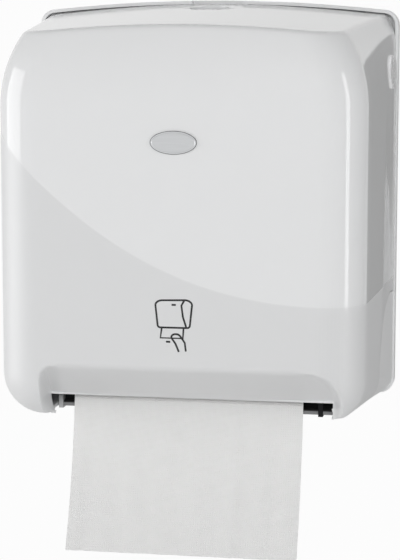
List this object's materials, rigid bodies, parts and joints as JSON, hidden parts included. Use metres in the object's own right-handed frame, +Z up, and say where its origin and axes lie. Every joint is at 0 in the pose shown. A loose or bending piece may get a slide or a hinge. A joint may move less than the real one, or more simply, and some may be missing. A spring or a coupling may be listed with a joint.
{
  "type": "towel dispenser",
  "caption": "Wall-mounted roll towel dispenser: moulded cover hinged at its lower edge, lock on top, pull-driven drum with a swinging toothed knife, and the sheet hanging from an arched mouth.",
  "frame": {"origin": "centre of the back face that meets the wall, on the dispenser's middle plane", "axes": "+X to the right as seen from the front, +Y into the wall, +Z up"},
  "size_m": [0.33, 0.222, 0.4675],
  "materials": {
    "cover_plastic": "glossy white moulded cover",
    "housing_plastic": "satin white moulding",
    "badge_metal": "smooth, bare",
    "disc_metal": "bright",
    "lock_metal": "bright",
    "steel": "satin zinc",
    "spring_steel": "spring wire",
    "blade_steel": "ground",
    "grey_plastic": "moulded grey",
    "guide_plastic": "moulded light grey",
    "dark_plastic": "moulded black",
    "wheel_plastic": "moulded blue grey",
    "grip_rubber": "matt",
    "towel_paper": "embossed white",
    "core_board": "plain"
  },
  "bodies": {
    "housing": {"back_housing": "housing_plastic", "hinge_pins": "steel", "strike_bracket": "grey_plastic", "left_frame": "grey_plastic", "right_frame": "grey_plastic", "frame_screws": "steel", "tie_rods": "steel", "cam_tracks": "dark_plastic", "lower_guide": "guide_plastic", "stripper_comb": "dark_plastic", "spring_peg": "steel", "pawl_pin": "steel", "return_spring": "steel", "pinch_springs": "spring_steel", "left_roll_arm": "grey_plastic", "arm_bracket": "grey_plastic", "arm_pin": "steel", "towel_web": "towel_paper"},
    "cover": {"front_cover": "cover_plastic", "badge_plate": "badge_metal", "side_disc": "disc_metal"},
    "lock": {"lock_barrel": "lock_metal", "lock_cam": "steel", "cam_screw": "steel"},
    "drum": {"drum_front_half": "dark_plastic", "drum_rear_half": "dark_plastic", "grip_strips": "grip_rubber", "drum_shaft": "steel", "feed_wheel": "wheel_plastic", "ratchet_wheel": "wheel_plastic", "crank_arm": "wheel_plastic"},
    "knife": {"knife_bar": "grey_plastic", "knife_blade": "blade_steel", "knife_rollers": "wheel_plastic"},
    "pawl": {"pawl": "wheel_plastic"},
    "pinch_carriage": {"pinch_blocks": "wheel_plastic"},
    "pinch_roller": {"pinch_shaft": "steel", "pinch_sleeve": "grip_rubber"},
    "roll": {"towel_roll": "towel_paper", "roll_core": "core_board"},
    "roll_arm": {"right_roll_arm": "grey_plastic"}
  },
  "joints": [
    {"name": "cover_hinge", "type": "hinge", "parent": "housing", "child": "cover", "pos_m": [0, -0.03, -0.145], "axis": [1, 0, 0], "range_deg": [0, 88], "deforming": ["towel_web"]},
    {"name": "lock_turn", "type": "hinge", "parent": "cover", "child": "lock", "pos_m": [0, -0.052, 0.17], "axis": [0, 0, -1], "range_deg": [0, 90]},
    {"name": "drum_turn", "type": "hinge", "parent": "housing", "child": "drum", "pos_m": [0, -0.113, -0.088], "axis": [1, 0, 0], "continuous": true, "deforming": ["return_spring"]},
    {"name": "knife_swing", "type": "hinge", "parent": "drum", "child": "knife", "pos_m": [0, -0.10427, -0.11725], "axis": [1, 0, 0], "range_deg": [-30, 0], "stiffness_Nm_per_rad": 0.06, "springref_deg": 34.38, "deforming": ["towel_web"]},
    {"name": "pawl_lift", "type": "hinge", "parent": "housing", "child": "pawl", "pos_m": [0, -0.09, -0.065], "axis": [1, 0, 0], "range_deg": [0, 12], "stiffness_Nm_per_rad": 0.005, "springref_deg": -5.73},
    {"name": "pinch_slide", "type": "slide", "parent": "housing", "child": "pinch_carriage", "axis": [0, 0, 1], "range_m": [0, 0.0015], "stiffness_N_per_m": 3000, "springref_m": -0.001, "deforming": ["pinch_springs"]},
    {"name": "pinch_turn", "type": "hinge", "parent": "pinch_carriage", "child": "pinch_roller", "pos_m": [0, -0.07355, -0.0549], "axis": [1, 0, 0], "continuous": true},
    {"name": "roll_turn", "type": "hinge", "parent": "housing", "child": "roll", "pos_m": [0, -0.104, 0.054], "axis": [1, 0, 0], "continuous": true},
    {"name": "roll_arm_swing", "type": "hinge", "parent": "housing", "child": "roll_arm", "pos_m": [0.106, -0.015, 0.054], "axis": [0, 0, 1], "range_deg": [0, 15], "stiffness_Nm_per_rad": 0.6, "springref_deg": -11.46}
  ],
  "couplings": [
    {"joint": "pinch_turn", "follows": "drum_turn", "ratio": -4.6667},
    {"joint": "roll_turn", "follows": "drum_turn", "ratio": -0.49412}
  ]
}
